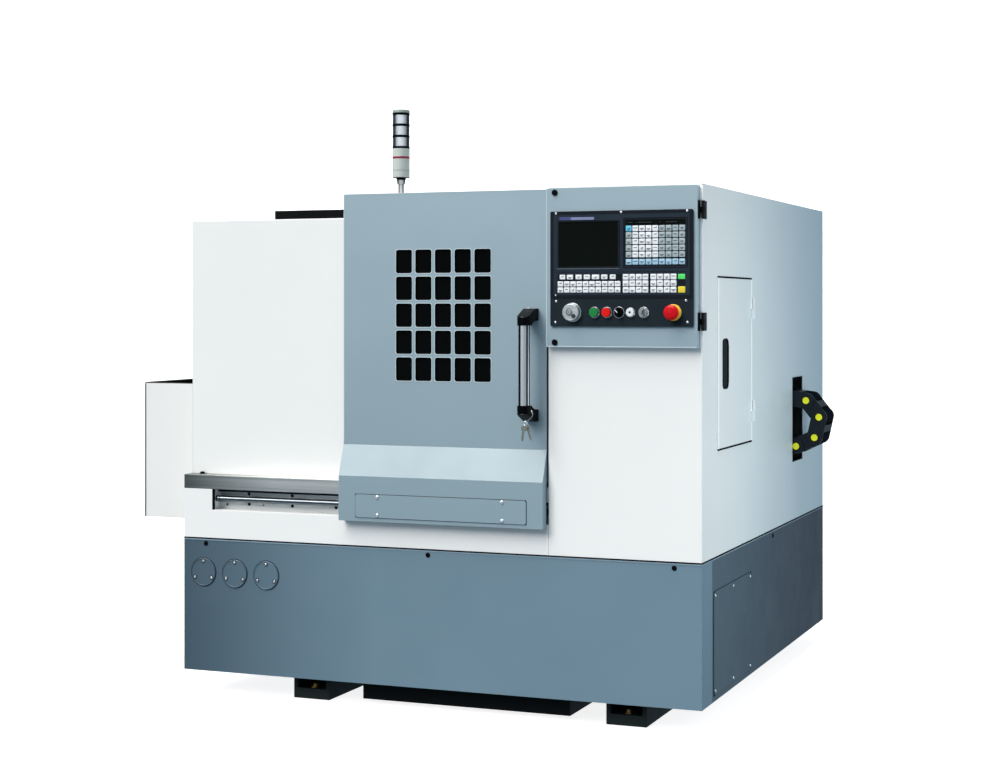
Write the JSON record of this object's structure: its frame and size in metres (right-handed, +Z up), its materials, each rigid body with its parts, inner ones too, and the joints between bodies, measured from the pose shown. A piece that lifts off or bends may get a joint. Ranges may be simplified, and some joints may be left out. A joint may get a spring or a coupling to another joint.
{
  "type": "cnc turning lathe",
  "caption": "Enclosed slant-bed turning lathe with sliding door, swinging operator panel, chuck, turret and cable chain",
  "frame": {"origin": "on the floor, midway between the four anchor holes of the foot rails", "axes": "+X to the operator's right, +Y away from the operator, +Z up"},
  "size_m": [1.952, 1.507, 1.718],
  "materials": {
    "white_enamel": "semi-gloss enamel",
    "grey_blue_enamel": "satin enamel",
    "plinth_enamel": "satin enamel",
    "black_enamel": "satin enamel",
    "black_plastic": "fine grained",
    "unit_plastic": "fine grained",
    "stainless": "brushed",
    "ground_steel": "ground and polished",
    "machined_steel": "milled",
    "castings": "painted casting",
    "handle_aluminium": "anodised",
    "pan_steel": "bare galvanised sheet",
    "motor_enamel": "black enamel",
    "belt_rubber": "matt",
    "pane": "dark and glossy",
    "key_rubber": "soft",
    "ring_metal": "bright",
    "green_plastic": "glossy",
    "red_plastic": "glossy",
    "guide_nylon": "smooth",
    "tower_plastic": "smooth",
    "oil_tank": "translucent"
  },
  "bodies": {
    "machine_base": {"foot_rails": "black_enamel", "coolant_sump": "black_enamel", "plinth_base": "plinth_enamel", "plinth_front": "plinth_enamel", "round_covers": "plinth_enamel", "side_access_cover": "plinth_enamel", "front_sill": "white_enamel", "rail_strip": "stainless", "guide_rod": "ground_steel", "left_cover": "white_enamel", "left_side": "white_enamel", "rear_sheet": "white_enamel", "right_cabinet": "white_enamel", "tail_hood": "white_enamel", "top_guide_rail": "black_enamel", "signal_tower": "tower_plastic", "cabinet_hinges": "black_enamel", "lubricator": "oil_tank", "bed": "castings", "bed_rails": "ground_steel", "headstock": "castings", "spindle_bearings": "machined_steel", "drive_belt": "belt_rubber", "spindle_motor": "motor_enamel", "feed_motor": "motor_enamel", "chip_pan": "pan_steel"},
    "sliding_door": {"door_panel": "grey_blue_enamel", "window_glass": "pane", "chute_plate": "grey_blue_enamel", "handle_tube": "handle_aluminium", "handle_brackets": "black_plastic", "door_guides": "guide_nylon"},
    "swing_panel": {"control_box": "grey_blue_enamel", "cnc_unit": "unit_plastic", "screen": "pane", "keypad": "key_rubber", "button_bezels": "ring_metal", "panel_hinges": "black_enamel"},
    "start_cap": {"start_button": "green_plastic"},
    "stop_cap": {"stop_button": "red_plastic"},
    "wheel_dial": {"handwheel": "handle_aluminium"},
    "selector": {"selector_knob": "black_plastic"},
    "keylock": {"key_switch": "handle_aluminium"},
    "estop_head": {"estop_button": "red_plastic"},
    "upper_lock": {"lock_upper": "black_plastic"},
    "lower_lock": {"lock_lower": "black_plastic"},
    "side_door": {"access_door": "white_enamel"},
    "spindle_line": {"spindle": "ground_steel", "chuck_body": "ground_steel"},
    "jaw_a": {"jaw_1": "ground_steel"},
    "jaw_b": {"jaw_2": "ground_steel"},
    "jaw_c": {"jaw_3": "ground_steel"},
    "motor_line": {"motor_pulley": "machined_steel"},
    "feed_screw": {"ball_screw": "ground_steel"},
    "carriage": {"saddle": "castings", "cross_motor": "motor_enamel"},
    "cross_carriage": {"cross_slide": "castings", "turret_housing": "castings"},
    "turret_head": {"turret_disc": "machined_steel"},
    "chain_bend": {"cable_chain": "black_plastic"}
  },
  "joints": [
    {"name": "door_slide", "type": "slide", "parent": "machine_base", "child": "sliding_door", "axis": [-1, 0, 0], "range_m": [0, 0.49]},
    {"name": "panel_swing", "type": "hinge", "parent": "machine_base", "child": "swing_panel", "pos_m": [0.725, -0.72, 1.035], "axis": [0, 0, 1], "range_deg": [0, 110]},
    {"name": "start_push", "type": "slide", "parent": "swing_panel", "child": "start_cap", "axis": [0, 1, 0], "range_m": [0, 0.004], "stiffness_N_per_m": 900},
    {"name": "stop_push", "type": "slide", "parent": "swing_panel", "child": "stop_cap", "axis": [0, 1, 0], "range_m": [0, 0.004], "stiffness_N_per_m": 900},
    {"name": "handwheel_turn", "type": "hinge", "parent": "swing_panel", "child": "wheel_dial", "pos_m": [0.3617, -0.741, 1.1285], "axis": [0, -1, 0], "continuous": true},
    {"name": "selector_turn", "type": "hinge", "parent": "swing_panel", "child": "selector", "pos_m": [0.4962, -0.741, 1.1285], "axis": [0, -1, 0], "range_deg": [-45, 45]},
    {"name": "key_turn", "type": "hinge", "parent": "swing_panel", "child": "keylock", "pos_m": [0.5657, -0.741, 1.1285], "axis": [0, -1, 0], "range_deg": [-90, 0]},
    {"name": "estop_push", "type": "slide", "parent": "swing_panel", "child": "estop_head", "axis": [0, 1, 0], "range_m": [0, 0.005], "stiffness_N_per_m": 1500},
    {"name": "upper_lock_turn", "type": "hinge", "parent": "swing_panel", "child": "upper_lock", "pos_m": [0.3085, -0.735, 1.454], "axis": [0, -1, 0], "range_deg": [0, 90]},
    {"name": "lower_lock_turn", "type": "hinge", "parent": "swing_panel", "child": "lower_lock", "pos_m": [0.3085, -0.735, 1.047], "axis": [0, -1, 0], "range_deg": [0, 90]},
    {"name": "side_door_swing", "type": "hinge", "parent": "machine_base", "child": "side_door", "pos_m": [0.7263, -0.2167, 0.75], "axis": [0, 0, 1], "range_deg": [0, 120]},
    {"name": "spindle_turn", "type": "hinge", "parent": "machine_base", "child": "spindle_line", "pos_m": [-0.2857, -0.25, 0.83], "axis": [1, 0, 0], "continuous": true},
    {"name": "motor_turn", "type": "hinge", "parent": "machine_base", "child": "motor_line", "pos_m": [-0.82, -0.12, 0.3], "axis": [1, 0, 0], "continuous": true},
    {"name": "jaw_a_slide", "type": "slide", "parent": "spindle_line", "child": "jaw_a", "axis": [0, 0, 1], "range_m": [-0.006, 0.006]},
    {"name": "jaw_b_slide", "type": "slide", "parent": "spindle_line", "child": "jaw_b", "axis": [0, -0.866, -0.5], "range_m": [-0.006, 0.006]},
    {"name": "jaw_c_slide", "type": "slide", "parent": "spindle_line", "child": "jaw_c", "axis": [0, 0.866, -0.5], "range_m": [-0.006, 0.006]},
    {"name": "carriage_slide", "type": "slide", "parent": "machine_base", "child": "carriage", "axis": [-1, 0, 0], "range_m": [0, 0.36]},
    {"name": "screw_turn", "type": "hinge", "parent": "machine_base", "child": "feed_screw", "pos_m": [0.56, 0.04133, 0.77909], "axis": [1, 0, 0], "range_deg": [0, 12961]},
    {"name": "chain_roll", "type": "slide", "parent": "machine_base", "child": "chain_bend", "axis": [-1, 0, 0], "range_m": [0, 0.1801]},
    {"name": "cross_feed", "type": "slide", "parent": "carriage", "child": "cross_carriage", "axis": [0, -0.7071, -0.7071], "range_m": [-0.06, 0.1]},
    {"name": "turret_index", "type": "hinge", "parent": "cross_carriage", "child": "turret_head", "pos_m": [0.3, -0.06615, 1.01385], "axis": [1, 0, 0], "continuous": true}
  ],
  "couplings": [
    {"joint": "motor_turn", "follows": "spindle_turn", "ratio": 1.44},
    {"joint": "jaw_b_slide", "follows": "jaw_a_slide", "ratio": 1},
    {"joint": "jaw_c_slide", "follows": "jaw_a_slide", "ratio": 1},
    {"joint": "screw_turn", "follows": "carriage_slide", "rad_per_m": 628.32},
    {"joint": "chain_roll", "follows": "carriage_slide", "ratio": 0.5}
  ]
}
